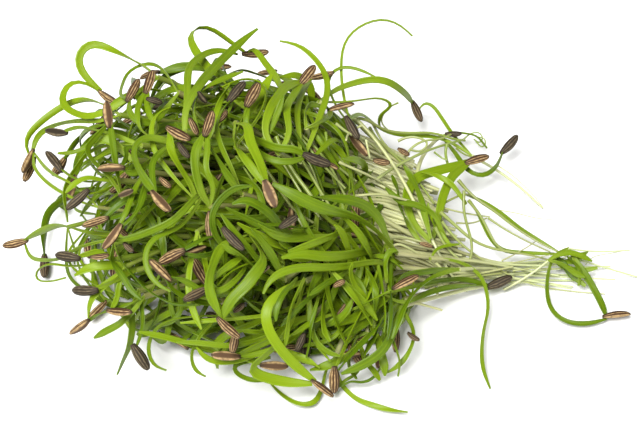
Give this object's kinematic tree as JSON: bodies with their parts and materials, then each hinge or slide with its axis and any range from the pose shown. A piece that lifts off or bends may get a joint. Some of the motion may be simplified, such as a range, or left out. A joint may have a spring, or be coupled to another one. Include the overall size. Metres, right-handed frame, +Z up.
{
  "type": "fennel cress bunch",
  "caption": "Loose cut bunch of fennel cress lying on its side: a heap of narrow curling seed leaves with striped seed husks, and pale stems gathered to one side.",
  "frame": {"origin": "middle of the bunch's box, on the surface that it lies on", "axes": "+X from the leafy heap to the cut ends of the stems, +Z up, -Y to the viewer"},
  "size_m": [0.1342, 0.0884, 0.0425],
  "materials": {
    "leaf": "satin",
    "stem": "satin"
  },
  "bodies": {
    "root": {"sprout_01": "leaf", "sprout_02": "leaf", "sprout_03": "leaf", "sprout_04": "leaf", "sprout_05": "leaf", "sprout_06": "leaf", "sprout_07": "leaf", "sprout_08": "leaf", "sprout_10": "leaf", "sprout_11": "leaf", "sprout_12": "leaf", "sprout_13": "leaf", "sprout_14": "leaf", "sprout_15": "leaf", "sprout_16": "leaf", "sprout_17": "leaf", "sprout_19": "leaf", "sprout_20": "leaf", "sprout_21": "leaf", "sprout_22": "leaf", "sprout_23": "leaf", "sprout_24": "leaf", "sprout_25": "leaf", "sprout_26": "leaf", "sprout_27": "leaf", "sprout_28": "leaf", "sprout_29": "leaf", "sprout_30": "leaf", "sprout_31": "leaf", "sprout_33": "leaf", "sprout_34": "leaf", "sprout_35": "leaf", "sprout_37": "leaf", "sprout_39": "leaf", "sprout_41": "leaf", "sprout_42": "leaf", "sprout_43": "leaf", "sprout_44": "leaf", "sprout_45": "leaf", "sprout_46": "leaf", "sprout_48": "leaf", "sprout_49": "leaf", "sprout_50": "leaf", "sprout_51": "leaf", "sprout_52": "leaf", "sprout_53": "leaf", "sprout_54": "leaf", "sprout_55": "leaf", "sprout_56": "leaf", "sprout_57": "leaf", "back_01": "leaf", "back_02": "leaf", "back_03": "leaf", "back_04": "leaf", "back_05": "leaf", "back_06": "leaf", "back_07": "leaf", "back_08": "leaf", "back_09": "leaf", "stem_bundle": "stem"}
  },
  "joints": []
}
